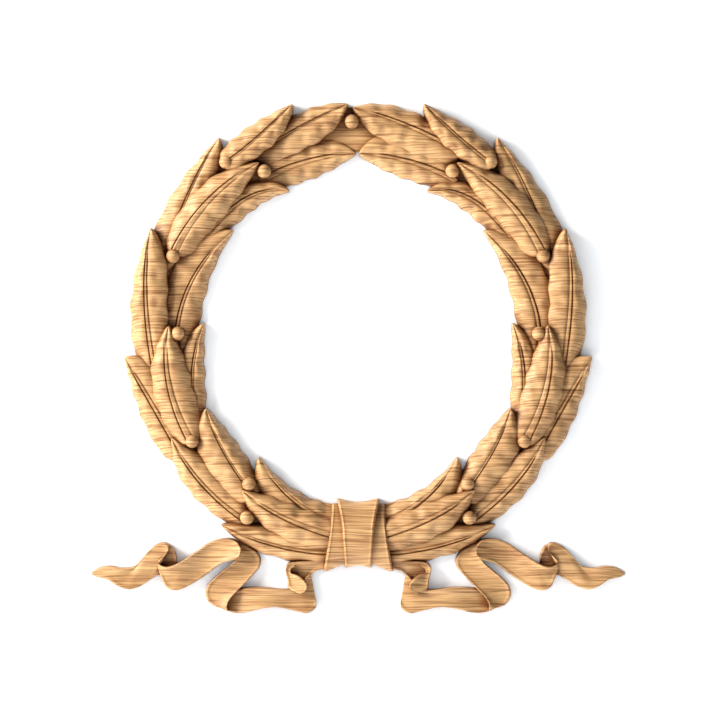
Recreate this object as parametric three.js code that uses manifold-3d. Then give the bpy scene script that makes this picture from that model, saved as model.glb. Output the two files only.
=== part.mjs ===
// Laurel wreath applique, carved in one piece of wood with a flat back.
// Two laurel branches rise from a bound stem at the bottom and meet at the top,
// with berries between the leaf clusters and a fluttering ribbon below.
// Millimetres, +Z up. The back lies on the plane Y = 0 and the carving faces -Y.
// The origin is on the back, behind the middle of the binding.
import * as THREE from 'three';
import { mergeVertices } from 'three/addons/utils/BufferGeometryUtils.js';
import Module from 'manifold-3d';

// Driving dimensions. The ring runs through the origin, so its centre is RING_RADIUS above it.
const RING_RADIUS = 148;
const BOARD_DEPTH = 20;
const CORE_LIFT = 6;
const CORE_INWARD = 15.5;
const CORE_OUTWARD = 18;
const CORE_HEIGHT = 5;
const UNDERSIDE = -4;
const JOIN_TOLERANCE = 0.03;
const WELD = 0.04;

const LEAF_STATIONS = 10;
const LEAF_WIDEST = 0.45;
const LEAF_BASE_SHARE = 0.8;
const LEAF_BASE_ROUND = 0.1;
const LEAF_FULLNESS = 0.8;
const LEAF_WAVES = 5;
const LEAF_WAVE_DEPTH = 0.7;
const LEAF_BULGE = 1.5;
const RIB_END = 0.88;
const RIB_RISE = 0.5;
const GROOVE_OFFSET = 1.5;
const GROOVE_DEPTH = 0.6;
const WALL_DRAFT = 0.9;

const BERRY_RADIUS = 5.2;
const BERRY_TOP = 17.5;
const BERRY_SIDES = 9;
const BERRY_RINGS = 3;

const WRAP_TOP = 23.3;
const WRAP_BOTTOM = -27.4;
const WRAP_HALF_TOP = 20;
const WRAP_HALF_BOTTOM = 26.3;
const WRAP_SAG = 5;
const WRAP_EDGE = 4.5;
const WRAP_CROWN = 16.4;
const BAND_TOP = 27;
const BAND_BOTTOM = -24.7;
const BAND_HALF_TOP = 16.2;
const BAND_HALF_MIDDLE = 11.9;
const BAND_HALF_BOTTOM = 10.2;
const BAND_SAG_TOP = 2.5;
const BAND_SAG_BOTTOM = 1.7;
const BAND_EDGE = 6.5;
const BAND_CROWN = 19.3;
const LIP_WIDTH = 2.2;
const LIP_RISE = 0.35;

const RIBBON_STEPS = 10;
const RIBBON_DRAFT = 0.7;

// The tables are drawn for a ring of radius 148 cut in a board 20 thick, and follow both.
const PLAN_SCALE = RING_RADIUS / 148;
const HEIGHT_SCALE = BOARD_DEPTH / 20;

// The leaves of the left branch. A place on the branch is an angle round the ring, 0 at the
// bottom and 180 at the top, and an offset outwards from the middle of the ring.
// `at` holds the base, middle and tip, `height` their heights above the back,
// `half` the half widths on the outer and inner side, `peak` how far along the leaf each side
// is widest, and `droop` how far those edges fall.
const LEAVES = [
  { at: [[2.5, -6], [20, -16], [39.5, -31.4]], half: [15, 11.5], peak: [0.7, 0.12],
    height: [8, 11, 11.5], droop: [3, 5] },
  { at: [[2.4, 3], [20.6, -2.2], [37.2, -4.4]], half: [15, 12], peak: [0.45, 0.45],
    height: [12.5, 15.5, 15], droop: [4, 3] },
  { at: [[2.2, 13.5], [19.2, 18.6], [36.1, 26]], half: [9, 15], peak: [0.5, 0.45],
    height: [6.5, 9.5, 9], droop: [4, 1.5] },
  { at: [[32, -5.5], [48.5, -15.8], [64.8, -22.3]], half: [18, 11.5], peak: [0.53, 0.37],
    height: [10.5, 13, 14.5], droop: [3.5, 6] },
  { at: [[31.2, 13], [46.6, 12], [61.6, 10.4]], half: [11.4, 13.5], peak: [0.5, 0.55],
    height: [8, 10, 12.5], droop: [4.5, 2] },
  { at: [[57.1, -5.7], [76.1, -20.3], [95.1, -32.3]], half: [12, 9.5], peak: [0.55, 0.35],
    height: [8, 9, 10], droop: [2, 3.5] },
  { at: [[56.9, -1], [75.9, -2.8], [93.4, -6.4]], half: [13.5, 16.5], peak: [0.45, 0.45],
    height: [13, 15.5, 15.5], droop: [4, 4] },
  { at: [[54.8, 10.6], [72.6, 14.2], [85.1, 27.6]], half: [13.8, 14], peak: [0.24, 0.76],
    height: [8.5, 9.5, 10.5], droop: [4, 0.5] },
  { at: [[80, 6], [100.7, 13.2], [117.7, 26.8]], half: [13.2, 15.9], peak: [0.27, 0.63],
    height: [8, 15, 14.5], droop: [5, 1.5] },
  { at: [[83, -11.5], [105.5, -15.8], [130.4, -25.2]], half: [17.5, 15.5], peak: [0.62, 0.28],
    height: [6.5, 8, 10], droop: [1, 4] },
  { at: [[108.5, 8], [129.5, 17.2], [145.1, 33.7]], half: [14, 12], peak: [0.22, 0.73],
    height: [8.5, 9.5, 10.5], droop: [4.5, 1.5] },
  { at: [[113.7, 3], [131.9, 2.5], [150.4, 1.4]], half: [13, 15.6], peak: [0.45, 0.45],
    height: [12.5, 15.5, 15.5], droop: [4, 4.5] },
  { at: [[121, -11], [140.4, -14.7], [154.6, -27.5]], half: [9.5, 10.5], peak: [0.57, 0.33],
    height: [8, 8.5, 9], droop: [1.5, 3.5] },
  { at: [[141.5, 15], [153.4, 18.7], [164.2, 32.6]], half: [11.6, 11.2], peak: [0.35, 0.55],
    height: [14, 16, 15.5], droop: [5, 1] },
];

// The two leaves at the head of each branch, which differ from left to right.
const LEFT_HEAD = [
  { at: [[149, 10], [165.3, 15], [177.5, 26]], half: [10.4, 16], peak: [0.45, 0.48],
    height: [5.5, 11.5, 13], droop: [3.5, 0.5] },
  { at: [[147.5, -9.9], [163.5, -11.4], [179.3, -10.7]], half: [14.2, 13.3], peak: [0.62, 0.42],
    height: [4.5, 6, 6], droop: [0.5, 2.5] },
];
const RIGHT_HEAD = [
  { at: [[150, 10.5], [167.6, 14.3], [181.4, 23]], half: [11.2, 18], peak: [0.5, 0.5],
    height: [10, 12.5, 12.5], droop: [4, 2.5] },
  { at: [[147.5, -9.9], [163.5, -11.4], [179.9, -10.9]], half: [17, 13], peak: [0.7, 0.45],
    height: [7, 8.5, 8.5], droop: [1, 3.5] },
];

// Places of the berries on a branch, and of the single one at the top.
const BERRIES = [
  [36.6, -11.1], [31.6, 10.5], [57.9, -1.6], [91, -13.1],
  [113.6, 2.8], [142.9, 15.6], [150.4, -5.7],
];
const TOP_BERRY = [178.3, 12.9];

// The left half of the ribbon as panels between two rails, each point [x, y, height].
// The first panel leaves the binding, and each next one starts at the fold of the one before.
const RIBBON = [
  { upper: [[18, -15, 7], [30, -19, 7], [39.5, -19.8, 7.5], [46.2, -20.2, 8], [51, -22.5, 8]],
    lower: [[20, -23, 5], [27.2, -26, 5], [32.5, -27.5, 4], [35.5, -30.3, 3], [38.5, -33.5, 3],
      [43, -34, 3], [47, -32, 3.5], [51, -29.5, 4]] },
  { upper: [[47, -23.5, 8], [50, -25.3, 8], [50.3, -28.4, 8.5], [46, -30, 10.5], [41.3, -33, 12],
      [38.4, -37, 13]],
    lower: [[46.7, -20, 8], [52, -21.5, 8.5], [54.2, -25.3, 9], [53.9, -29, 9], [52.7, -34.3, 9],
      [52, -39.8, 9], [47.5, -42.3, 10.5], [43.7, -43.7, 12], [40.2, -42.5, 12.5],
      [38.3, -39.5, 13]] },
  { upper: [[98, -44.3, 3], [88.3, -40.4, 6], [72.9, -39.6, 8.5], [52, -40.9, 8], [43, -36.5, 7.5],
      [38.8, -31.5, 6.5], [35.6, -29, 5.5]],
    lower: [[101, -56.5, 3], [93, -58.6, 4.5], [85, -58.3, 6.5], [77, -56.3, 8], [68.7, -54.6, 8.5],
      [60.4, -54.2, 8], [52, -55.9, 7], [44, -57.9, 7], [39.2, -58.8, 7], [35.5, -57.7, 6.5],
      [32, -54.5, 6], [31.5, -50.8, 6]] },
  { upper: [[100.5, -55.6, 9], [110.5, -52, 5.5], [114.3, -45.5, 5], [112.9, -38.4, 5],
      [108, -32.8, 5.5], [101.5, -27.3, 6.5], [94.7, -21.7, 8], [90.5, -15, 9], [91, -6, 9]],
    lower: [[98, -56.6, 11], [98.2, -53, 11], [95.5, -47.3, 10], [88.3, -40, 8], [79.5, -31, 5.5],
      [74, -24, 4.5], [73.2, -18.5, 4], [76, -12.8, 3.5], [82, -8.8, 3.5], [89, -4.5, 3.5]] },
  { upper: [[149.9, -21.5, 8], [147.2, -23, 9], [143.5, -24, 10], [139.7, -23.4, 10.5],
      [135.2, -21.5, 10.5], [124.7, -15.2, 9], [112.7, -6.9, 7.5], [107.5, -4.7, 7.5],
      [102, -3.4, 8], [94.5, -3.4, 9.5], [90.4, -5.4, 11], [88, -9.2, 12], [87.8, -12, 12.5]],
    lower: [[150, -24, 7.5], [148.7, -28.3, 7.5], [144.6, -38, 8], [142, -40.5, 8],
      [138.2, -41.6, 8.5], [133.7, -41.2, 8], [123.2, -36.1, 6], [113.5, -29.6, 5.5],
      [102, -21.4, 7.5], [95.4, -19.2, 10], [91, -17.8, 11.5], [88.3, -14.5, 12.5]] },
  { upper: [[144, -6.6, 8], [139.7, -8.8, 8], [137, -13.3, 7.5], [135.8, -20, 6]],
    lower: [[150.2, -20, 3], [145, -24, 3], [139.7, -24.2, 3], [135.6, -23, 3]] },
  { upper: [[200, -28.8, 3], [193.7, -24.9, 5], [184.7, -23.8, 7], [178.7, -24.9, 7],
      [172.7, -24.9, 6], [167.5, -23.8, 5], [163.7, -20, 5], [156.2, -11.4, 7.5],
      [152.5, -8.4, 8.5], [148.7, -6.5, 9.5], [144.5, -6.2, 10], [141.7, -8.2, 10.5],
      [142, -11.4, 10.5], [147.2, -17, 10], [149.5, -19.3, 9.5]],
    lower: [[200, -29.8, 3], [196.7, -31.6, 4], [187.7, -33.7, 6], [180.2, -38.4, 7.5],
      [172.7, -40.9, 8], [168.2, -40.3, 7], [163.7, -38.8, 6], [154.7, -33.1, 5],
      [151, -30.9, 4.5], [148, -30, 4]] },
];

const wasm = await Module();
wasm.setup();

// A closed geometry as a solid that can be joined and cut.
function solidFrom(geometry) {
  const plain = geometry.clone();
  plain.deleteAttribute('normal');
  plain.deleteAttribute('uv');
  const merged = mergeVertices(plain, 1e-5);
  return new wasm.Manifold(new wasm.Mesh({
    numProp: 3,
    vertProperties: Float32Array.from(merged.attributes.position.array),
    triVerts: Uint32Array.from(merged.index.array),
    tolerance: JOIN_TOLERANCE,
  }));
}

// A closed block under a sheet: `top` is rows of points, and `bottom` the same grid of
// points lying below the back, which the walls reach down to.
function blockUnder(top, bottom) {
  const columns = top[0].length;
  const points = [...top.flat(), ...bottom.flat()];
  const below = top.length * columns;
  const faces = [];
  const addQuad = (a, b, c, d) => faces.push([a, b, c], [a, c, d]);
  for (let i = 0; i + 1 < top.length; i += 1) {
    for (let j = 0; j + 1 < columns; j += 1) {
      const a = i * columns + j;
      addQuad(a, a + 1, a + 1 + columns, a + columns);
      addQuad(below + a + columns, below + a + 1 + columns, below + a + 1, below + a);
    }
  }
  const edge = [];
  const last = top.length - 1;
  for (let j = 0; j < columns; j += 1) edge.push(j);
  for (let i = 1; i <= last; i += 1) edge.push(i * columns + columns - 1);
  for (let j = columns - 2; j >= 0; j -= 1) edge.push(last * columns + j);
  for (let i = last - 1; i > 0; i -= 1) edge.push(i * columns);
  edge.forEach((a, k) => {
    const b = edge[(k + 1) % edge.length];
    addQuad(b, a, below + a, below + b);
  });
  return closedGeometry(points, faces);
}

// Points and faces as a geometry with its faces pointing out and no collapsed triangle.
function closedGeometry(points, faces) {
  const geometry = new THREE.BufferGeometry();
  geometry.setAttribute('position', new THREE.Float32BufferAttribute(points.flat(), 3));
  geometry.setIndex(faces.flat());
  const merged = mergeVertices(geometry, 1e-5);
  const index = merged.index.array;
  const kept = [];
  for (let i = 0; i < index.length; i += 3) {
    const [a, b, c] = [index[i], index[i + 1], index[i + 2]];
    if (a !== b && b !== c && c !== a) kept.push([a, b, c]);
  }
  if (volumeOf(merged, kept) < 0) kept.forEach((face) => face.reverse());
  merged.setIndex(kept.flat());
  return merged;
}

function volumeOf(geometry, faces) {
  const corner = (i) => new THREE.Vector3().fromBufferAttribute(geometry.attributes.position, i);
  return faces.reduce((sum, [a, b, c]) => sum + corner(a).dot(corner(b).cross(corner(c))) / 6, 0);
}

// The mesh of a solid, with the ends of its shortest edges made one point.
function welded({ vertProperties, triVerts }) {
  const points = Array.from({ length: vertProperties.length / 3 }, (_, i) => (
    new THREE.Vector3().fromArray(vertProperties, i * 3)));
  const keeper = points.map((_, i) => i);
  const last = (i) => (keeper[i] === i ? i : last(keeper[i]));
  for (let i = 0; i < triVerts.length; i += 3) {
    for (let k = 0; k < 3; k += 1) {
      const [a, b] = [last(triVerts[i + k]), last(triVerts[i + (k + 1) % 3])];
      if (a !== b && points[a].distanceTo(points[b]) < WELD) keeper[Math.max(a, b)] = Math.min(a, b);
    }
  }
  const faces = [];
  for (let i = 0; i < triVerts.length; i += 3) faces.push([...triVerts.slice(i, i + 3)].map(last));
  return closedGeometry(points.map((point) => point.toArray()), faces);
}

// A place on the left branch, or on the right one where `side` is 1.
function onBranch([angle, offset], side) {
  const turn = THREE.MathUtils.degToRad(angle);
  const radius = RING_RADIUS + offset * PLAN_SCALE;
  return [side * radius * Math.sin(turn), RING_RADIUS - radius * Math.cos(turn)];
}

// The half width of a leaf at a share of its length, as a share of its widest.
function leafShare(along, widest) {
  const fullness = LEAF_FULLNESS + Math.max(0, LEAF_WIDEST - widest);
  if (along < widest) {
    const rounded = Math.sqrt(1 - (1 - Math.min(along / LEAF_BASE_ROUND, 1)) ** 2);
    const swell = Math.sin(Math.PI / 2 * along / widest);
    return rounded * (LEAF_BASE_SHARE + (1 - LEAF_BASE_SHARE) * swell);
  }
  const warped = along ** (Math.log(0.5) / Math.log(widest));
  return Math.max(0, 4 * warped * (1 - warped)) ** fullness;
}

// The height across a leaf, from its middle line: the blade swells on each side of the
// raised rib and its grooves, and falls away to the edge.
function leafProfile(across, droop) {
  return LEAF_BULGE * Math.sin(Math.PI * Math.min(1, across * 1.1)) - droop * across ** 2;
}

function leaf({ at, half, peak, height, droop }, side) {
  const [base, middle, tip] = at.map((place, i) => (
    new THREE.Vector3(...onBranch(place, side), height[i] * HEIGHT_SCALE)));
  const control = middle.clone().multiplyScalar(2).addScaledVector(base, -0.5).addScaledVector(tip, -0.5);
  const midline = new THREE.QuadraticBezierCurve3(base, control, tip);
  const top = [];
  const bottom = [];
  for (let i = 0; i < LEAF_STATIONS; i += 1) {
    const along = i / (LEAF_STATIONS - 1);
    const centre = midline.getPoint(along);
    const ahead = midline.getTangent(along);
    const outward = new THREE.Vector2(ahead.y, -ahead.x).normalize().multiplyScalar(side);
    const wave = LEAF_WAVE_DEPTH * Math.sin(2 * Math.PI * LEAF_WAVES * along) * Math.sin(Math.PI * along);
    const ribFade = along < RIB_END ? Math.min(1, (RIB_END - along) * 6) : 0;
    const upper = [];
    const lower = [];
    const addPoint = (offset, rise, draft) => {
      const foot = offset + draft;
      upper.push([centre.x + outward.x * offset, centre.y + outward.y * offset, centre.z + rise]);
      lower.push([centre.x + outward.x * foot, centre.y + outward.y * foot, UNDERSIDE]);
    };
    for (const [sign, k] of [[-1, 1], [1, 0]]) {
      const share = leafShare(along, peak[k]);
      const tipFade = Math.min(1, 2 * share);
      const width = Math.max(0, half[k] * PLAN_SCALE * share + wave * sign);
      const groove = Math.min(GROOVE_OFFSET, width * 0.3);
      const columns = [1, 0.6].map((s) => [
        sign * s * width, leafProfile(s, droop[k]) * tipFade, s === 1 ? sign * WALL_DRAFT : 0]);
      columns.push([sign * groove, -GROOVE_DEPTH * ribFade, 0]);
      if (sign > 0) columns.reverse();
      if (sign > 0) columns.unshift([0, RIB_RISE * ribFade, 0]);
      columns.forEach((column) => addPoint(...column));
    }
    top.push(upper);
    bottom.push(lower);
  }
  return blockUnder(top, bottom);
}

function berry([x, y]) {
  const outline = [new THREE.Vector2(0, UNDERSIDE), new THREE.Vector2(BERRY_RADIUS, UNDERSIDE)];
  for (let i = 0; i < BERRY_RINGS; i += 1) {
    const turn = Math.PI / 2 * i / BERRY_RINGS;
    outline.push(new THREE.Vector2(
      BERRY_RADIUS * Math.cos(turn), BERRY_TOP - BERRY_RADIUS + BERRY_RADIUS * Math.sin(turn)));
  }
  outline.push(new THREE.Vector2(0, BERRY_TOP));
  const dome = new THREE.LatheGeometry(outline, BERRY_SIDES);
  dome.rotateX(Math.PI / 2);
  dome.translate(x, y, 0);
  return dome;
}

// The branches' stem behind the leaves, a low ring that fills the gaps between them.
function core() {
  const inner = RING_RADIUS - CORE_INWARD;
  const outer = RING_RADIUS + CORE_OUTWARD;
  const ring = new THREE.LatheGeometry([
    new THREE.Vector2(inner, UNDERSIDE),
    new THREE.Vector2(outer, UNDERSIDE),
    new THREE.Vector2(outer, CORE_HEIGHT),
    new THREE.Vector2(inner, CORE_HEIGHT),
    new THREE.Vector2(inner, UNDERSIDE),
  ], 36);
  ring.rotateX(Math.PI / 2);
  ring.translate(0, RING_RADIUS + CORE_LIFT, 0);
  return ring;
}

// A ribbon panel ruled between its two rails.
function panel({ upper, lower }, side) {
  const rails = [upper, lower].map((points) => new THREE.CatmullRomCurve3(
    points.map(([x, y, height]) => new THREE.Vector3(
      side * x * PLAN_SCALE, y * PLAN_SCALE, height * HEIGHT_SCALE)), false, 'centripetal'));
  const top = [];
  for (let i = 0; i <= RIBBON_STEPS; i += 1) {
    const [start, end] = rails.map((rail) => rail.getPointAt(i / RIBBON_STEPS));
    top.push([0, 1].map((share) => start.clone().lerp(end, share).toArray()));
  }
  return blockUnder(top, top.map(([start, end]) => {
    const across = new THREE.Vector2(start[0] - end[0], start[1] - end[1]).setLength(RIBBON_DRAFT);
    return [
      [start[0] + across.x, start[1] + across.y, UNDERSIDE],
      [end[0] - across.x, end[1] - across.y, UNDERSIDE],
    ];
  }));
}

// An arched sheet over the stem: `halfAt` gives its half width at a share from top to bottom,
// and the lips along its two sides stand a little higher. Its top and bottom edges bow inwards
// by the sags, within the two bends from its sides to its middle.
function arch(top, bottom, halfAt, edge, crown, [sagTop, sagBottom], bends) {
  const rows = [];
  const steps = 10;
  for (let i = 0; i <= steps; i += 1) {
    const share = i / steps;
    const half = halfAt(share);
    const rise = edge + (crown - edge) * Math.max(0, 1 - (2 * share - 1) ** 2) ** 0.6;
    const columns = [-1, -1 + LIP_WIDTH / half, -0.4, 0.4, 1 - LIP_WIDTH / half, 1];
    rows.push(columns.map((across, j) => {
      const sag = (share < 0.5 ? -sagTop : sagBottom) * Math.abs(2 * share - 1) ** 3;
      const bow = sag * THREE.MathUtils.smoothstep(1 - Math.abs(across), ...bends);
      const lip = j === 0 || j === 5 ? LIP_RISE : 0;
      return [across * half, top + (bottom - top) * share + bow, rise + lip];
    }));
  }
  return blockUnder(rows, rows.map((row) => row.map(([x, y]) => [x, y, UNDERSIDE])));
}

function wrap() {
  const halfAt = (share) => WRAP_HALF_TOP + (WRAP_HALF_BOTTOM - WRAP_HALF_TOP) * share ** 1.6;
  return arch(WRAP_TOP, WRAP_BOTTOM, halfAt, WRAP_EDGE, WRAP_CROWN, [0, WRAP_SAG], [0.1, 0.6]);
}

function band() {
  const halfAt = (share) => {
    if (share > 0.5) return BAND_HALF_MIDDLE + (BAND_HALF_BOTTOM - BAND_HALF_MIDDLE) * (2 * share - 1);
    return BAND_HALF_MIDDLE + (BAND_HALF_TOP - BAND_HALF_MIDDLE) * (1 - 2 * share) ** 1.6;
  };
  const sags = [BAND_SAG_TOP, BAND_SAG_BOTTOM];
  return arch(BAND_TOP, BAND_BOTTOM, halfAt, BAND_EDGE, BAND_CROWN, sags, [0, 0.9]);
}

// The whole carving, cut off flat along the back and turned upright.
function wreath() {
  const shapes = [core(), wrap(), band(), berry(onBranch(TOP_BERRY, -1))];
  for (const side of [-1, 1]) {
    const head = side < 0 ? LEFT_HEAD : RIGHT_HEAD;
    shapes.push(...[...LEAVES, ...head].map((row) => leaf(row, side)));
    shapes.push(...BERRIES.map((place) => berry(onBranch(place, side))));
    shapes.push(...RIBBON.map((row) => panel(row, side)));
  }
  const joined = shapes.map(solidFrom).reduce((whole, piece) => whole.add(piece));
  const reach = 4 * RING_RADIUS;
  const board = new THREE.BoxGeometry(reach, reach, reach);
  board.translate(0, RING_RADIUS, reach / 2);
  const geometry = welded(joined.intersect(solidFrom(board)).getMesh());
  geometry.rotateX(Math.PI / 2);
  return geometry;
}

const limewood = new THREE.MeshStandardMaterial({ color: 0xd9a86c, roughness: 0.6, metalness: 0 });
const carving = new THREE.Mesh(wreath(), limewood);
carving.name = 'laurel_wreath_applique';

const applique = new THREE.Group();
applique.add(carving);

export default applique;
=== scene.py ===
"""A laurel wreath applique, carved in one piece of wood, lying flat on a white wall.

Metres, +Z up. The back is on the plane Y = 0 and the carving faces -Y. Sizes and tables are in
millimetres, in the plane of the wreath: x to the right, y up and a height above the back.
"""
import math

import bpy
import numpy as np
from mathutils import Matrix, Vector, noise


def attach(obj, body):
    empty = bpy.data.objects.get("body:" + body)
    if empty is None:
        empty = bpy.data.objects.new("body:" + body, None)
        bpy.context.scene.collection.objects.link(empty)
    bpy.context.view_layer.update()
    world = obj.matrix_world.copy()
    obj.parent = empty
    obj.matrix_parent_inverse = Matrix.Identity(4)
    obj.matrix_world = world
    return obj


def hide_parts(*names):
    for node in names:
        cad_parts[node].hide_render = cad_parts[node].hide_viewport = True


MM = 0.001
MERGE_DISTANCE = 0.002

# The ring runs through the origin, so its centre is RING_RADIUS above it.
RING_RADIUS = 148
CORE_LIFT = 6
CORE_INNER = 132.5
CORE_OUTER = 166
CORE_HEIGHT = 5
CORE_SIDES = 160
BOARD_DEPTH = 20
BOARD_SIDE = 500
BOARD_CELLS = 61

# Each shape goes on behind the back, where the board's back face cuts it off: its walls have
# their draft down to UNDERSIDE, and its flat foot lies FOOT_DEPTH behind the back.
UNDERSIDE = -4
FOOT_DEPTH = 5

# Below SLIM_WIDTH the rib, grooves and edge narrow with the blade, and below TIP_WIDTH its
# swelling flattens.
LEAF_STATIONS = 66
LEAF_WIDEST = 0.45
LEAF_BASE_SHARE = 0.8
LEAF_BASE_ROUND = 0.1
LEAF_FULLNESS = 0.8
LEAF_WAVES = 5
LEAF_WAVE_DEPTH = 0.7
LEAF_BULGE = 1.7
SLIM_WIDTH = 6
TIP_WIDTH = 5

# The tool's marks: shallow cuts, a row of dimples along each half and ripples near the edge.
CUT_HEIGHT = 0.7
CUT_SPACING = 7
CUT_SHIFT = 5
CUT_FADE = 6
DIMPLE_DEPTH = 1.1
DIMPLE_PLACE = 0.52
DIMPLE_SPREAD = 0.2
RIPPLE_HEIGHT = 0.35
RIPPLE_START = 0.45

# The section across half a leaf. The rib and its groove are (share of the width, share of the
# height or depth), the blade is shares of its width, the rolled edge is turns in degrees and
# the wall is shares of its fall.
RIB_SECTION = [(0, 1), (0.5, 0.8), (0.9, 0.1)]
GROOVE_SECTION = [(0.3, 1), (0.65, 0.6), (1, 0)]
BLADE_STOPS = [0.12, 0.25, 0.38, 0.5, 0.62, 0.74, 0.87, 1]
EDGE_TURNS = [25, 45, 62, 77, 90]
WALL_STOPS = [0.2, 0.55, 1]
RIB_BASE_SHARE = 1.05
RIB_TAPER = 0.85
RIB_END = 0.88
RIB_FADE = 0.16
RIB_RISE = 1
RIB_FULL = 1.2
GROOVE_WIDTH = 1.1
GROOVE_DEPTHS = [0.9, 0.3]
EDGE_ROLL = 1.7
EDGE_FALL = 2.2
WALL_DRAFT = 0.9

BERRY_RADIUS = 5.2
BERRY_TOP = 17.5
BERRY_SIDES = 28
BERRY_RINGS = 18

# The binding is a wide wrap with a narrower band over it, both arched over the stem.
WRAP_TOP = 23.3
WRAP_BOTTOM = -27.4
WRAP_HALF_TOP = 20
WRAP_HALF_BOTTOM = 26.3
WRAP_SAGS = [0, 5]
WRAP_BENDS = [0.1, 0.6]
WRAP_EDGE = 4.5
WRAP_CROWN = 16.4
BAND_TOP = 27
BAND_BOTTOM = -24.7
BAND_HALF_TOP = 16.2
BAND_HALF_MIDDLE = 11.9
BAND_HALF_BOTTOM = 10.2
BAND_SAGS = [2.5, 1.7]
BAND_BENDS = [0, 0.9]
BAND_EDGE = 6.5
BAND_CROWN = 19.3
FLARE = 1.6
ARCH_STATIONS = 49
ARCH_FULLNESS = 0.6
ARCH_STOPS = [0.75, 0.5, 0.25, 0]
LIP_STOPS = [0, 0.3, 0.75, 1.25, 1.7, 2.2, 2.7, 3.5]
LIP_RISES = [-3, -1.9, -0.8, -0.05, 0.35, 0.3, 0.05, 0]

# A ribbon narrower than RIBBON_SLIM has a narrower roll, lip and hollow too.
RAIL_STEPS = 60
RIBBON_STATIONS = 72
RIBBON_SLIM = 10
RIBBON_DRAFT = 0.7
RIBBON_LIP = 0.5
RIBBON_LIP_WIDTH = 2.2
RIBBON_HOLLOW = 0.6
RIBBON_ROLL = 1.4
RIBBON_FALL = 1.2
RIBBON_ROLL_STOPS = [0, 0.08, 0.25, 0.5, 0.75, 1]
RIBBON_LIP_STOPS = [0.5, 1.1, 1.8, 2.6]
RIBBON_FLOOR_STOPS = [0.2, 0.4, 0.6, 0.8]
RIBBON_WALL_STOPS = [0.3, 1]

# The leaves of one branch. A place on the branch is an angle round the ring, 0 at the bottom
# and 180 at the top, and an offset outwards from the middle of the ring.
# Each row has its base, middle and tip, the half widths on the outer and inner side, how far
# along the leaf each side is widest, the heights of base, middle and tip, the fall of the two
# edges and half the width of its rib.
LEAVES = [
    ([[2.5, -6], [20, -16], [39.5, -31.4]],
     [15, 11.5], [0.7, 0.12], [8, 11, 11.5], [3, 5], 1.6),
    ([[2.4, 3], [20.6, -2.2], [37.2, -4.4]],
     [15, 12], [0.45, 0.45], [12.5, 15.5, 15], [4, 3], 2),
    ([[2.2, 13.5], [19.2, 18.6], [36.1, 26]],
     [9, 15], [0.5, 0.45], [6.5, 9.5, 9], [4, 1.5], 1.2),
    ([[32, -5.5], [48.5, -15.8], [64.8, -22.3]],
     [18, 11.5], [0.53, 0.37], [10.5, 13, 14.5], [3.5, 6], 0.5),
    ([[31.2, 13], [46.6, 12], [61.6, 10.4]],
     [11.4, 13.5], [0.5, 0.55], [8, 10, 12.5], [4.5, 2], 1.4),
    ([[57.1, -5.7], [76.1, -20.3], [95.1, -32.3]],
     [12, 9.5], [0.55, 0.35], [8, 9, 10], [2, 3.5], 1),
    ([[56.9, -1], [75.9, -2.8], [93.4, -6.4]],
     [13.5, 16.5], [0.45, 0.45], [13, 15.5, 15.5], [4, 4], 2.4),
    ([[54.8, 10.6], [72.6, 14.2], [85.1, 27.6]],
     [13.8, 14], [0.24, 0.76], [8.5, 9.5, 10.5], [4, 0.5], 1.8),
    ([[80, 6], [100.7, 13.2], [117.7, 26.8]],
     [13.2, 15.9], [0.27, 0.63], [8, 15, 14.5], [5, 1.5], 1.4),
    ([[83, -11.5], [105.5, -15.8], [130.4, -25.2]],
     [17.5, 15.5], [0.62, 0.28], [6.5, 8, 10], [1, 4], 1.2),
    ([[108.5, 8], [129.5, 17.2], [145.1, 33.7]],
     [14, 12], [0.22, 0.73], [8.5, 9.5, 10.5], [4.5, 1.5], 0.6),
    ([[113.7, 3], [131.9, 2.5], [150.4, 1.4]],
     [13, 15.6], [0.45, 0.45], [12.5, 15.5, 15.5], [4, 4.5], 2.4),
    ([[121, -11], [140.4, -14.7], [154.6, -27.5]],
     [9.5, 10.5], [0.57, 0.33], [8, 8.5, 9], [1.5, 3.5], 1.2),
    ([[141.5, 15], [153.4, 18.7], [164.2, 32.6]],
     [11.6, 11.2], [0.35, 0.55], [14, 16, 15.5], [5, 1], 0.5),
]

# The two leaves at the head of each branch, which differ from left to right.
LEFT_HEAD = [
    ([[149, 10], [165.3, 15], [177.5, 26]],
     [10.4, 16], [0.45, 0.48], [5.5, 11.5, 13], [3.5, 0.5], 0.5),
    ([[147.5, -9.9], [163.5, -11.4], [179.3, -10.7]],
     [14.2, 13.3], [0.62, 0.42], [4.5, 6, 6], [0.5, 2.5], 2),
]
RIGHT_HEAD = [
    ([[150, 10.5], [167.6, 14.3], [181.4, 23]],
     [11.2, 18], [0.5, 0.5], [10, 12.5, 12.5], [4, 2.5], 1.2),
    ([[147.5, -9.9], [163.5, -11.4], [179.9, -10.9]],
     [17, 13], [0.7, 0.45], [7, 8.5, 8.5], [1, 3.5], 1.6),
]

# Places of the berries on one branch, and of the single one at the top.
BERRIES = [
    [36.6, -11.1], [31.6, 10.5], [57.9, -1.6], [91, -13.1],
    [113.6, 2.8], [142.9, 15.6], [150.4, -5.7],
]
TOP_BERRY = [178.3, 12.9]

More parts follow.
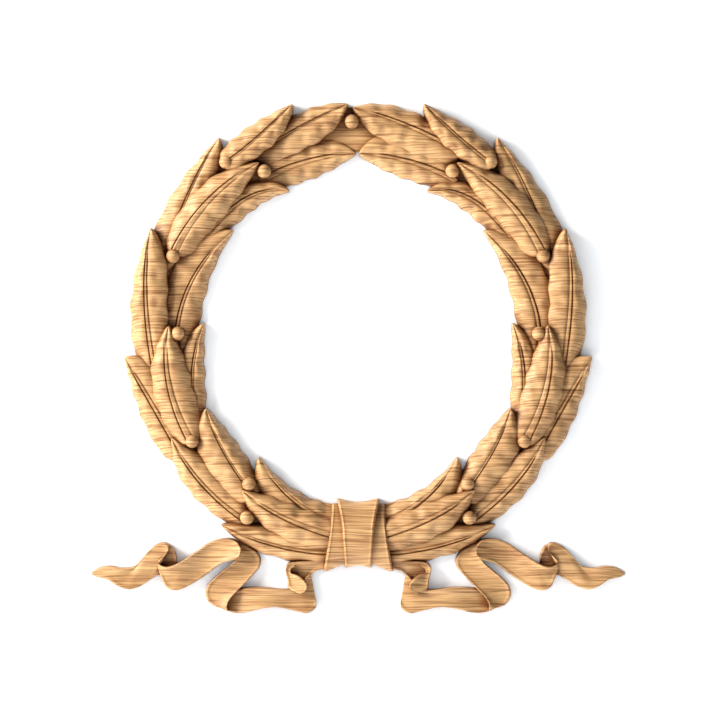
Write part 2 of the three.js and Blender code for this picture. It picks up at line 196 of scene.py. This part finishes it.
# Half of the ribbon as panels between an upper and a lower rail, each point [x, y, height].
# The first leaves the binding, and each next one starts at the last fold.
RIBBON = [
    ([[18, -15, 7], [30, -19, 7], [39.5, -19.8, 7.5], [46.2, -20.2, 8], [51, -22.5, 8]],
     [[20, -23, 5], [27.2, -26, 5], [32.5, -27.5, 4], [35.5, -30.3, 3], [38.5, -33.5, 3],
      [43, -34, 3], [47, -32, 3.5], [51, -29.5, 4]]),
    ([[47, -23.5, 8], [50, -25.3, 8], [50.3, -28.4, 8.5], [46, -30, 10.5], [41.3, -33, 12],
      [38.4, -37, 13]],
     [[46.7, -20, 8], [52, -21.5, 8.5], [54.2, -25.3, 9], [53.9, -29, 9], [52.7, -34.3, 9],
      [52, -39.8, 9], [47.5, -42.3, 10.5], [43.7, -43.7, 12], [40.2, -42.5, 12.5],
      [38.3, -39.5, 13]]),
    ([[98, -44.3, 3], [88.3, -40.4, 6], [72.9, -39.6, 8.5], [52, -40.9, 8], [43, -36.5, 7.5],
      [38.8, -31.5, 6.5], [35.6, -29, 5.5]],
     [[101, -56.5, 3], [93, -58.6, 4.5], [85, -58.3, 6.5], [77, -56.3, 8], [68.7, -54.6, 8.5],
      [60.4, -54.2, 8], [52, -55.9, 7], [44, -57.9, 7], [39.2, -58.8, 7], [35.5, -57.7, 6.5],
      [32, -54.5, 6], [31.5, -50.8, 6]]),
    ([[100.5, -55.6, 9], [110.5, -52, 5.5], [114.3, -45.5, 5], [112.9, -38.4, 5],
      [108, -32.8, 5.5], [101.5, -27.3, 6.5], [94.7, -21.7, 8], [90.5, -15, 9], [91, -6, 9]],
     [[98, -56.6, 11], [98.2, -53, 11], [95.5, -47.3, 10], [88.3, -40, 8], [79.5, -31, 5.5],
      [74, -24, 4.5], [73.2, -18.5, 4], [76, -12.8, 3.5], [82, -8.8, 3.5], [89, -4.5, 3.5]]),
    ([[149.9, -21.5, 8], [147.2, -23, 9], [143.5, -24, 10], [139.7, -23.4, 10.5],
      [135.2, -21.5, 10.5], [124.7, -15.2, 9], [112.7, -6.9, 7.5], [107.5, -4.7, 7.5],
      [102, -3.4, 8], [94.5, -3.4, 9.5], [90.4, -5.4, 11], [88, -9.2, 12], [87.8, -12, 12.5]],
     [[150, -24, 7.5], [148.7, -28.3, 7.5], [144.6, -38, 8], [142, -40.5, 8], [138.2, -41.6, 8.5],
      [133.7, -41.2, 8], [123.2, -36.1, 6], [113.5, -29.6, 5.5], [102, -21.4, 7.5],
      [95.4, -19.2, 10], [91, -17.8, 11.5], [88.3, -14.5, 12.5]]),
    ([[144, -6.6, 8], [139.7, -8.8, 8], [137, -13.3, 7.5], [135.8, -20, 6]],
     [[150.2, -20, 3], [145, -24, 3], [139.7, -24.2, 3], [135.6, -23, 3]]),
    ([[200, -28.8, 3], [193.7, -24.9, 5], [184.7, -23.8, 7], [178.7, -24.9, 7], [172.7, -24.9, 6],
      [167.5, -23.8, 5], [163.7, -20, 5], [156.2, -11.4, 7.5], [152.5, -8.4, 8.5],
      [148.7, -6.5, 9.5], [144.5, -6.2, 10], [141.7, -8.2, 10.5], [142, -11.4, 10.5],
      [147.2, -17, 10], [149.5, -19.3, 9.5]],
     [[200, -29.8, 3], [196.7, -31.6, 4], [187.7, -33.7, 6], [180.2, -38.4, 7.5], [172.7, -40.9, 8],
      [168.2, -40.3, 7], [163.7, -38.8, 6], [154.7, -33.1, 5], [151, -30.9, 4.5], [148, -30, 4]]),
]

# Colours of the wood, each set as (position on the ramp, colour): the growth bands, the dark
# pore lines and fine hairs over them, and the painted shade that darkens the recesses.
BAND_TONES = [
    (0.3, (0.615, 0.35, 0.153)), (0.45, (0.665, 0.395, 0.175)),
    (0.58, (0.705, 0.433, 0.197)), (0.72, (0.665, 0.383, 0.17)),
]
LINE_TONES = [
    (0.36, (0.5, 0.4, 0.32)), (0.45, (0.78, 0.7, 0.64)),
    (0.53, (1, 1, 1)), (0.68, (1.06, 1.06, 1.06)),
]
HAIR_TONES = [(0.38, (0.5, 0.4, 0.33)), (0.46, (0.82, 0.76, 0.72)), (0.53, (1, 1, 1))]
PAINTED_SHADE_TONES = [
    (0.25, (0.26, 0.16, 0.09)), (0.55, (0.46, 0.35, 0.26)),
    (0.8, (0.78, 0.71, 0.64)), (0.97, (1, 1, 1)),
]

CAMERA_DISTANCE = 2.4
SENSOR_WIDTH = 36
PICTURE_PIXELS = 716
PIXEL_SIZE = 0.75
VIEW_WIDTH = PICTURE_PIXELS * PIXEL_SIZE * MM


def on_branch(place, side):
    """A place on the left branch, or on the right one where side is 1."""
    turn = math.radians(place[0])
    radius = RING_RADIUS + place[1]
    return [side * radius * math.sin(turn), RING_RADIUS - radius * math.cos(turn)]


def fade(value, start, end):
    """0 before start, 1 after end and a smooth step between."""
    share = np.clip((value - start) / (end - start), 0, 1)
    return share * share * (3 - 2 * share)


def quarter_round(share):
    """The fall of a rounded edge, from 1 at its foot to 0 where it meets the top."""
    return 1 - np.sqrt(1 - np.clip(1 - share, 0, 1) ** 2)


def select_only(piece):
    bpy.ops.object.select_all(action="DESELECT")
    piece.select_set(True)
    bpy.context.view_layer.objects.active = piece


def close_block():
    """Turns the faces of the block in edit mode outwards and leaves edit mode."""
    bpy.ops.mesh.select_all(action="SELECT")
    bpy.ops.mesh.normals_make_consistent(inside=False)
    bpy.ops.object.mode_set(mode="OBJECT")


def carved_block(name, points):
    """A closed block whose top is the sheet of points, rows by columns by (x, y, height)."""
    rows, columns = points.shape[:2]
    bpy.ops.object.select_all(action="DESELECT")
    bpy.ops.mesh.primitive_grid_add(x_subdivisions=columns - 1, y_subdivisions=rows - 1, size=1)
    block = bpy.context.object
    block.name = name
    place = points.reshape(-1, 3)[:, [0, 2, 1]] * [MM, -MM, MM]
    block.data.vertices.foreach_set("co", place.ravel())
    bpy.ops.object.mode_set(mode="EDIT")
    bpy.ops.mesh.select_all(action="SELECT")
    bpy.ops.mesh.remove_doubles(threshold=MERGE_DISTANCE * MM)
    bpy.ops.mesh.extrude_region_move(TRANSFORM_OT_translate={"value": (0, BOARD_DEPTH * MM, 0)})
    bpy.ops.transform.resize(value=(1, 0, 1), center_override=(0, FOOT_DEPTH * MM, 0))
    close_block()
    return block


def leaf_share(along, widest):
    """The half width of a leaf along its length, as a share of its widest."""
    fullness = LEAF_FULLNESS + max(0, LEAF_WIDEST - widest)
    swell = LEAF_BASE_SHARE + (1 - LEAF_BASE_SHARE) * np.sin(
        np.pi / 2 * np.minimum(along / widest, 1))
    swell *= np.sqrt(1 - (1 - np.minimum(along / LEAF_BASE_ROUND, 1)) ** 2)
    warped = along ** (math.log(0.5) / math.log(widest))
    taper = np.maximum(0, 4 * warped * (1 - warped)) ** fullness
    return np.where(along < widest, swell, taper)


def leaf_half(along, width, droop, rib_half, groove_depth, phase):
    """Offsets and rises of one half of a leaf, from the middle of its rib to its edge."""
    slim = np.minimum(1, width / SLIM_WIDTH)
    tip_fade = np.minimum(1, width / TIP_WIDTH)
    rib_fade = fade(RIB_END - along, 0, RIB_FADE)
    rib = rib_half * (RIB_BASE_SHARE - RIB_TAPER * along) * slim
    crest = RIB_RISE * rib_fade * min(1, rib_half / RIB_FULL)
    groove = rib + GROOVE_WIDTH * slim
    roll = EDGE_ROLL * slim
    offsets = []
    details = []
    for share, rise in RIB_SECTION:
        offsets.append(rib * share)
        details.append(crest * rise)
    for share, depth in GROOVE_SECTION:
        offsets.append(rib + (groove - rib) * share)
        details.append(-groove_depth * depth * rib_fade)
    for share in BLADE_STOPS:
        offsets.append(groove + (width - roll - groove) * share)
        details.append(0 * rib)
    for turn in EDGE_TURNS:
        offsets.append(width - roll + roll * math.sin(math.radians(turn)))
        details.append(-EDGE_FALL * slim * (1 - math.cos(math.radians(turn))))
    offsets = np.stack(offsets, axis=1)
    across = offsets / np.maximum(width, 1e-6)[:, None]
    swell = LEAF_BULGE * np.sin(np.pi * np.minimum(1, across * 1.1)) - droop * across ** 2
    beat = 2 * np.pi * LEAF_WAVES * along + phase
    middle = np.exp(-((across - DIMPLE_PLACE) / DIMPLE_SPREAD) ** 2)
    dimples = -DIMPLE_DEPTH * (0.5 + 0.5 * np.cos(beat))[:, None] ** 2 * middle
    ripple = RIPPLE_HEIGHT * np.sin(beat)[:, None] * fade(across, RIPPLE_START, 1)
    lively = (np.sin(np.pi * along) ** 0.5)[:, None]
    rises = (swell + (dimples + ripple) * lively) * tip_fade[:, None] + np.stack(details, axis=1)
    return offsets, rises


def leaf_points(row, side):
    """The sheet of one leaf, with the walls beside it, as rows across the leaf."""
    at, half, peak, height, droop, rib_half = row
    base, middle, tip = [np.array([*on_branch(place, side), h]) for place, h in zip(at, height)]
    control = 2 * middle - (base + tip) / 2
    along = np.linspace(0, 1, LEAF_STATIONS)[:, None]
    centre = (1 - along) ** 2 * base + 2 * along * (1 - along) * control + along ** 2 * tip
    ahead = 2 * (1 - along) * (control - base) + 2 * along * (tip - control)
    outward = np.stack([ahead[:, 1], -ahead[:, 0]], axis=1) * side
    outward /= np.linalg.norm(outward, axis=1)[:, None]
    along = along[:, 0]
    wave = LEAF_WAVE_DEPTH * np.sin(2 * np.pi * LEAF_WAVES * along) * np.sin(np.pi * along)
    halves = []
    for sign, k in [(-1, 1), (1, 0)]:
        width = np.maximum(0, half[k] * leaf_share(along, peak[k]) + wave * sign)
        offsets, rises = leaf_half(
            along, width, droop[k], rib_half, GROOVE_DEPTHS[k], math.pi / 2 * sign)
        heights = centre[:, 2:] + rises
        edge = heights[:, -1]
        for down in WALL_STOPS:
            offsets = np.column_stack([offsets, width + WALL_DRAFT * down])
            heights = np.column_stack([heights, edge + (UNDERSIDE - edge) * down])
        halves.append((offsets * sign, heights))
    (inner, inner_heights), (outer, outer_heights) = halves
    offsets = np.hstack([inner[:, ::-1], outer[:, 1:]])
    heights = np.hstack([inner_heights[:, ::-1], outer_heights[:, 1:]])
    x = centre[:, :1] + outward[:, :1] * offsets
    y = centre[:, 1:2] + outward[:, 1:] * offsets
    walls = len(WALL_STOPS)
    blade = heights[:, walls:-walls]
    for i, j in np.ndindex(blade.shape):
        spot = Vector((x[i, j + walls], y[i, j + walls], base[2] * CUT_SHIFT)) / CUT_SPACING
        blade[i, j] += CUT_HEIGHT * noise.noise(spot) * min(1, CUT_FADE * (1 - along[i]))
    return np.stack([x, y, heights], axis=2)


def smooth_rail(points, side, count):
    """Evenly spaced places on a centripetal curve through the points of one rail."""
    nodes = np.array([[side * x, y, h] for x, y, h in points], float)
    nodes = np.vstack([2 * nodes[0] - nodes[1], nodes, 2 * nodes[-1] - nodes[-2]])
    dense = []
    for i in range(1, len(nodes) - 2):
        a, b, c, d = nodes[i - 1:i + 3]
        gap_a, gap_b, gap_c = [np.linalg.norm(q - p) ** 0.5 for p, q in [(a, b), (b, c), (c, d)]]
        start = ((b - a) / gap_a - (c - a) / (gap_a + gap_b) + (c - b) / gap_b) * gap_b
        end = ((c - b) / gap_b - (d - b) / (gap_b + gap_c) + (d - c) / gap_c) * gap_b
        for t in np.linspace(0, 1, RAIL_STEPS, endpoint=False):
            dense.append((2 * t ** 3 - 3 * t ** 2 + 1) * b + (t ** 3 - 2 * t ** 2 + t) * start
                         + (3 * t ** 2 - 2 * t ** 3) * c + (t ** 3 - t ** 2) * end)
    dense = np.array(dense + [nodes[-2]])
    reach = np.concatenate([[0], np.cumsum(np.linalg.norm(np.diff(dense, axis=0), axis=1))])
    even = np.linspace(0, reach[-1], count)
    return np.stack([np.interp(even, reach, dense[:, k]) for k in range(3)], axis=1)


def ribbon_points(row, side):
    """The sheet of one ribbon panel, hollow between two raised lips, with its walls."""
    upper, lower = [smooth_rail(points, side, RIBBON_STATIONS) for points in row]
    span = np.linalg.norm((upper - lower)[:, :2], axis=1)
    slim = np.minimum(1, span / RIBBON_SLIM)
    reach = np.linspace(0, 1, RIBBON_STATIONS)
    length = np.linalg.norm(np.diff((upper + lower) / 2, axis=0), axis=1).sum()
    from_end = np.minimum(reach, 1 - reach) * length
    end_fall = RIBBON_FALL * quarter_round(from_end / RIBBON_ROLL)
    stops = [RIBBON_ROLL * share for share in RIBBON_ROLL_STOPS]
    stops += [RIBBON_ROLL + further for further in RIBBON_LIP_STOPS]
    columns = [stop * slim / np.maximum(span, 1e-6) for stop in stops]
    start = columns[-1]
    columns += [start + (1 - 2 * start) * share for share in RIBBON_FLOOR_STOPS]
    columns += [1 - stop * slim / np.maximum(span, 1e-6) for stop in reversed(stops)]
    shares = np.stack(columns, axis=1)
    distance = np.minimum(shares, 1 - shares) * span[:, None] / slim[:, None]
    roll = RIBBON_FALL * quarter_round(distance / RIBBON_ROLL)
    lip = RIBBON_LIP * (1 - fade(distance, RIBBON_ROLL, RIBBON_ROLL + RIBBON_LIP_WIDTH))
    hollow = RIBBON_HOLLOW * (4 * shares * (1 - shares))
    rise = (lip - roll - hollow) * slim[:, None] - end_fall[:, None]
    sheet = upper[:, None, :] * (1 - shares[:, :, None]) + lower[:, None, :] * shares[:, :, None]
    sheet[:, :, 2] += rise
    across = (upper - lower)[:, :2] / np.maximum(span, 1e-6)[:, None] * RIBBON_DRAFT
    walls = []
    for edge_row, sign in [(sheet[:, 0], 1), (sheet[:, -1], -1)]:
        wall = []
        for down in RIBBON_WALL_STOPS:
            foot = edge_row.copy()
            foot[:, :2] += across * sign * down
            foot[:, 2] += (UNDERSIDE - foot[:, 2]) * down
            wall.append(foot)
        walls.append(wall)
    left = np.stack(walls[0][::-1], axis=1)
    right = np.stack(walls[1], axis=1)
    return np.concatenate([left, sheet, right], axis=1)


def arch_points(top, bottom, half_at, edge, crown, sags, bends):
    """An arched sheet over the stem, with a rounded lip along each side. Its top and bottom
    edges bow inwards by the sags, within the two bends from its sides to its middle.
    """
    rows = []
    for i in range(ARCH_STATIONS):
        share = i / (ARCH_STATIONS - 1)
        half = half_at(share)
        rise = edge + (crown - edge) * max(0, 1 - (2 * share - 1) ** 2) ** ARCH_FULLNESS
        sag = -sags[0] if share < 0.5 else sags[1]
        offsets = [half - stop for stop in LIP_STOPS]
        offsets += [offsets[-1] * k for k in ARCH_STOPS]
        lips = LIP_RISES + [0] * len(ARCH_STOPS)
        row = []
        for sign in [-1, 1]:
            part = []
            for offset, lip in zip(offsets, lips):
                across = offset / half
                bow = fade(1 - across, *bends) * sag * abs(2 * share - 1) ** 3
                part.append([sign * offset, top + (bottom - top) * share + bow, rise + lip])
            foot = [sign * half, part[0][1], UNDERSIDE]
            part = [foot] + part
            row += part if sign < 0 else part[-2::-1]
        rows.append(row)
    return np.array(rows, float)


def wrap_half(share):
    """Half the width of the wrap at a share of its way down."""
    return WRAP_HALF_TOP + (WRAP_HALF_BOTTOM - WRAP_HALF_TOP) * share ** FLARE


def band_half(share):
    """Half the width of the band at a share of its way down."""
    if share > 0.5:
        return BAND_HALF_MIDDLE + (BAND_HALF_BOTTOM - BAND_HALF_MIDDLE) * (2 * share - 1)
    return BAND_HALF_MIDDLE + (BAND_HALF_TOP - BAND_HALF_MIDDLE) * (1 - 2 * share) ** FLARE


def berry(name, place, side):
    """A round berry on a post that goes down through the back."""
    x, y = on_branch(place, side)
    centre = Vector((x * MM, -(BERRY_TOP - BERRY_RADIUS) * MM, y * MM))
    bpy.ops.object.select_all(action="DESELECT")
    bpy.ops.mesh.primitive_uv_sphere_add(
        segments=BERRY_SIDES, ring_count=BERRY_RINGS, radius=BERRY_RADIUS * MM, location=centre,
        rotation=(math.pi / 2, 0, 0))
    piece = bpy.context.object
    piece.name = name
    bpy.ops.object.transform_apply(location=True, rotation=True, scale=True)
    bpy.ops.object.mode_set(mode="EDIT")
    bpy.ops.mesh.select_all(action="SELECT")
    bpy.ops.mesh.bisect(plane_co=centre, plane_no=(0, 1, 0), use_fill=True, clear_outer=True)
    bpy.ops.mesh.extrude_region_move(
        TRANSFORM_OT_translate={"value": (0, (BERRY_TOP - BERRY_RADIUS - UNDERSIDE) * MM, 0)})
    close_block()
    return piece


def stem_ring():
    """The low ring of stem behind the leaves."""
    middle = (0, FOOT_DEPTH * MM, (RING_RADIUS + CORE_LIFT) * MM)
    growth = CORE_OUTER / CORE_INNER
    bpy.ops.object.select_all(action="DESELECT")
    bpy.ops.mesh.primitive_circle_add(
        vertices=CORE_SIDES, radius=CORE_INNER * MM, fill_type="NOTHING", location=middle,
        rotation=(math.pi / 2, 0, 0))
    ring = bpy.context.object
    bpy.ops.object.transform_apply(location=True, rotation=True, scale=True)
    bpy.ops.object.mode_set(mode="EDIT")
    bpy.ops.mesh.select_all(action="SELECT")
    bpy.ops.mesh.extrude_region_move()
    bpy.ops.transform.resize(value=(growth, 1, growth), center_override=middle)
    bpy.ops.mesh.select_all(action="SELECT")
    bpy.ops.mesh.extrude_region_move(
        TRANSFORM_OT_translate={"value": (0, -(CORE_HEIGHT + FOOT_DEPTH) * MM, 0)})
    close_block()
    return ring


def board():
    """The board that the wreath is cut from, whose back is a grid of small faces."""
    bpy.ops.object.select_all(action="DESELECT")
    bpy.ops.mesh.primitive_grid_add(
        x_subdivisions=BOARD_CELLS, y_subdivisions=BOARD_CELLS, size=BOARD_SIDE * MM,
        location=(0, 0, RING_RADIUS * MM), rotation=(math.pi / 2, 0, 0))
    block = bpy.context.object
    bpy.ops.object.transform_apply(location=True, rotation=True, scale=True)
    bpy.ops.object.mode_set(mode="EDIT")
    bpy.ops.mesh.select_all(action="SELECT")
    bpy.ops.mesh.extrude_region_move(
        TRANSFORM_OT_translate={"value": (0, -BOARD_DEPTH * MM, 0)})
    close_block()
    return block


def boolean(piece, other, operation):
    """Joins or cuts the piece with one object, or with all objects of a collection."""
    modifier = piece.modifiers.new("boolean", "BOOLEAN")
    modifier.operation = operation
    modifier.solver = "MANIFOLD"
    if isinstance(other, bpy.types.Collection):
        modifier.operand_type = "COLLECTION"
        modifier.collection = other
    else:
        modifier.object = other
    select_only(piece)
    bpy.ops.object.modifier_apply(modifier=modifier.name)


def carved_wreath():
    """All shapes joined on the stem ring and cut off flat by the board."""
    shapes = []
    for side, word, head in [(-1, "left", LEFT_HEAD), (1, "right", RIGHT_HEAD)]:
        for i, row in enumerate(LEAVES + head):
            shapes.append(carved_block(f"{word}_leaf_{i}", leaf_points(row, side)))
        for i, row in enumerate(RIBBON):
            shapes.append(carved_block(f"{word}_ribbon_{i}", ribbon_points(row, side)))
        for i, place in enumerate(BERRIES):
            shapes.append(berry(f"{word}_berry_{i}", place, side))
    shapes.append(berry("top_berry", TOP_BERRY, -1))
    shapes.append(carved_block("wrap", arch_points(
        WRAP_TOP, WRAP_BOTTOM, wrap_half, WRAP_EDGE, WRAP_CROWN, WRAP_SAGS, WRAP_BENDS)))
    shapes.append(carved_block("band", arch_points(
        BAND_TOP, BAND_BOTTOM, band_half, BAND_EDGE, BAND_CROWN, BAND_SAGS, BAND_BENDS)))
    carving = stem_ring()
    carving.name = "carved_wreath"
    group = bpy.data.collections.new("shapes")
    bpy.context.scene.collection.children.link(group)
    for shape in shapes:
        for owner in list(shape.users_collection):
            owner.objects.unlink(shape)
        group.objects.link(shape)
    boolean(carving, group, "UNION")
    for shape in shapes:
        bpy.data.objects.remove(shape)
    bpy.data.collections.remove(group)
    block = board()
    boolean(carving, block, "INTERSECT")
    bpy.data.objects.remove(block)
    return carving


def add_node(tree, kind, place, **settings):
    """A new node, with its settings and input values by name."""
    node = tree.nodes.new(kind)
    node.location = place
    for name, value in settings.items():
        if name in node.inputs:
            node.inputs[name].default_value = value
        else:
            setattr(node, name, value)
    return node


def stretched_noise(tree, vector, place, scale, detail, roughness):
    """Noise that is stretched along the grain, by one scale for each axis."""
    mapping = add_node(tree, "ShaderNodeMapping", place, Scale=scale)
    tree.links.new(vector, mapping.inputs["Vector"])
    texture = add_node(tree, "ShaderNodeTexNoise", (place[0] + 200, place[1]), Scale=1,
                       Detail=detail, Roughness=roughness)
    tree.links.new(mapping.outputs["Vector"], texture.inputs["Vector"])
    return texture.outputs["Fac"]


def mapped(tree, value, place, low, high):
    """A value between 0 and 1 brought between low and high."""
    node = add_node(tree, "ShaderNodeMapRange", place)
    node.inputs["To Min"].default_value = low
    node.inputs["To Max"].default_value = high
    tree.links.new(value, node.inputs["Value"])
    return node.outputs["Result"]


def colour_ramp(tree, value, place, stops):
    """A colour that follows the value through the stops."""
    ramp = add_node(tree, "ShaderNodeValToRGB", place)
    elements = ramp.color_ramp.elements
    while len(elements) > 1:
        elements.remove(elements[-1])
    elements[0].position = stops[0][0]
    elements[0].color = (*stops[0][1], 1)
    for position, colour in stops[1:]:
        elements.new(position).color = (*colour, 1)
    tree.links.new(value, ramp.inputs["Fac"])
    return ramp.outputs["Color"]


def multiplied(tree, place, factor, first, second):
    """One colour multiplied by another, as far as the factor says."""
    mix = add_node(tree, "ShaderNodeMix", place, data_type="RGBA", blend_type="MULTIPLY")
    factor_input, first_input, second_input = mix.inputs[0], mix.inputs[6], mix.inputs[7]
    factor_input.default_value = factor
    tree.links.new(first, first_input)
    tree.links.new(second, second_input)
    return mix.outputs[2]


def limewood():
    """Pale wood with its grain along X, in layers that lie at a slant through the board, and
    painted shade in its recesses.
    """
    wood = bpy.data.materials.new("carved_limewood")
    wood.use_nodes = True
    tree = wood.node_tree
    shader = tree.nodes["Principled BSDF"]
    place = add_node(tree, "ShaderNodeTexCoord", (-1900, 0)).outputs["Object"]

    # The layers drift up and down by up to 4 mm, so that the lines aren't quite straight.
    drift = stretched_noise(tree, place, (-1700, -500), (9, 30, 30), 2, 0.5)
    shift = mapped(tree, drift, (-1300, -500), -0.004, 0.004)
    lift = add_node(tree, "ShaderNodeCombineXYZ", (-1100, -500))
    tree.links.new(shift, lift.inputs["Z"])
    moved = add_node(tree, "ShaderNodeVectorMath", (-1500, 0), operation="ADD")
    tree.links.new(place, moved.inputs[0])
    tree.links.new(lift.outputs["Vector"], moved.inputs[1])
    slant = add_node(tree, "ShaderNodeMapping", (-1300, 0), Rotation=(math.radians(10), 0, 0))
    tree.links.new(moved.outputs["Vector"], slant.inputs["Vector"])
    layers = slant.outputs["Vector"]

    bands = stretched_noise(tree, layers, (-1000, 300), (5, 25, 120), 3, 0.55)
    lines = stretched_noise(tree, layers, (-1000, 0), (16, 80, 1050), 3, 0.6)
    hairs = stretched_noise(tree, layers, (-1000, -300), (30, 160, 1400), 2, 0.5)
    ground = colour_ramp(tree, bands, (-600, 300), BAND_TONES)
    dark = colour_ramp(tree, lines, (-600, 0), LINE_TONES)
    fine = colour_ramp(tree, hairs, (-600, -300), HAIR_TONES)
    # Painted shade: the wood colour darkens to brown where ambient occlusion finds creases, grooves
    # and the feet of steps.
    shade_occlusion = add_node(tree, "ShaderNodeAmbientOcclusion", (-300, 500), samples=12, Distance=0.008)
    painted_shade = colour_ramp(tree, shade_occlusion.outputs["AO"], (-100, 500), PAINTED_SHADE_TONES)
    tone = multiplied(tree, (-300, 200), 1, ground, dark)
    tone = multiplied(tree, (-100, 100), 0.7, tone, fine)
    tone = multiplied(tree, (100, 200), 1, tone, painted_shade)
    tree.links.new(tone, shader.inputs["Base Color"])

    gloss = mapped(tree, lines, (-300, -100), 0.62, 0.42)
    tree.links.new(gloss, shader.inputs["Roughness"])
    shader.inputs["Specular IOR Level"].default_value = 0.35
    bump = add_node(tree, "ShaderNodeBump", (-300, -400), Strength=0.35, Distance=0.0002)
    tree.links.new(lines, bump.inputs["Height"])
    tree.links.new(bump.outputs["Normal"], shader.inputs["Normal"])
    return wood


def white_paint():
    """Bright matt white with a painted shadow that greys it close to the carving, and is seen
    through from behind.
    """
    white = bpy.data.materials.new("white_wall")
    white.use_nodes = True
    tree = white.node_tree
    shader = tree.nodes["Principled BSDF"]
    shader.inputs["Base Color"].default_value = (0.8, 0.8, 0.81, 1)
    shader.inputs["Roughness"].default_value = 0.9
    shader.inputs["Specular IOR Level"].default_value = 0
    shader.inputs["Emission Strength"].default_value = 0.62
    # Painted shadow: the wall's glow dims to a cool grey where ambient occlusion finds the carving
    # close by.
    painted_contact_shadow = add_node(tree, "ShaderNodeAmbientOcclusion", (-400, 0), samples=12,
                    Color=(0.91, 0.96, 1, 1), Distance=0.016)
    tree.links.new(painted_contact_shadow.outputs["Color"], shader.inputs["Emission Color"])
    see_through = add_node(tree, "ShaderNodeBsdfTransparent", (0, -400))
    facing = add_node(tree, "ShaderNodeNewGeometry", (0, 300))
    mix = add_node(tree, "ShaderNodeMixShader", (300, 0))
    tree.links.new(facing.outputs["Backfacing"], mix.inputs["Fac"])
    tree.links.new(shader.outputs["BSDF"], mix.inputs[1])
    tree.links.new(see_through.outputs["BSDF"], mix.inputs[2])
    tree.links.new(mix.outputs["Shader"], tree.nodes["Material Output"].inputs["Surface"])
    return white


def ground_plane(name, location, tilt, paint):
    """A large plane of the stage, tilted about X."""
    bpy.ops.object.select_all(action="DESELECT")
    bpy.ops.mesh.primitive_plane_add(size=6, location=location, rotation=(tilt, 0, 0))
    plane = bpy.context.object
    plane.name = name
    plane.data.materials.append(paint)
    return plane


def area_light(name, location, target, size, power, colour):
    """A round soft light that looks from its location at the target."""
    light = bpy.data.lights.new(name, "AREA")
    light.shape = "DISK"
    light.size = size
    light.energy = power
    light.color = colour
    holder = bpy.data.objects.new(name, light)
    holder.location = location
    aim = Vector(target) - Vector(location)
    holder.rotation_mode = "QUATERNION"
    holder.rotation_quaternion = aim.to_track_quat("-Z", "Y")
    bpy.context.scene.collection.objects.link(holder)


def studio_world():
    """A dim, even and slightly cool surround, shown without tone mapping."""
    world = bpy.data.worlds.new("studio")
    world.use_nodes = True
    background = world.node_tree.nodes["Background"]
    background.inputs["Color"].default_value = (0.95, 0.97, 1, 1)
    background.inputs["Strength"].default_value = 0.08
    bpy.context.scene.world = world
    bpy.context.scene.view_settings.view_transform = "Standard"


def front_camera():
    """A camera square in front, with the view as wide as the picture at the wreath."""
    camera = bpy.data.cameras.new("camera")
    camera.sensor_width = SENSOR_WIDTH
    camera.lens = SENSOR_WIDTH * CAMERA_DISTANCE / VIEW_WIDTH
    holder = bpy.data.objects.new("camera", camera)
    holder.location = (-0.0002, -CAMERA_DISTANCE, 0.1322)
    holder.rotation_euler = (math.pi / 2, 0, 0)
    bpy.context.scene.collection.objects.link(holder)
    bpy.context.scene.camera = holder


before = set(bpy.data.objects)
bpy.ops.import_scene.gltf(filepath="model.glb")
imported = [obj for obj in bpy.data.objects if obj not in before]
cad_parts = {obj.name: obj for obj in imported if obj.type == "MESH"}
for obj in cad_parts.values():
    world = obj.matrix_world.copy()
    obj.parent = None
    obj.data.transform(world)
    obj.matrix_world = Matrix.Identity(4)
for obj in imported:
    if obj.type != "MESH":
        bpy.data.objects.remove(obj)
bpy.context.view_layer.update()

wreath = carved_wreath()
select_only(wreath)
bpy.ops.object.shade_smooth_by_angle(angle=math.radians(40))
wreath.data.materials.clear()
wreath.data.materials.append(limewood())
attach(wreath, "root")
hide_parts("laurel_wreath_applique")

white = white_paint()
wall = ground_plane("wall", (0, 0.0005, 0.13), math.pi / 2, white)
floor = ground_plane("floor", (0, 0, -0.9), 0, white)

area_light("key", location=(-2.3, -1.15, 0.95), target=(0, 0, 0.13), size=1.3, power=146,
           colour=(1, 0.98, 0.95))
studio_world()
front_camera()
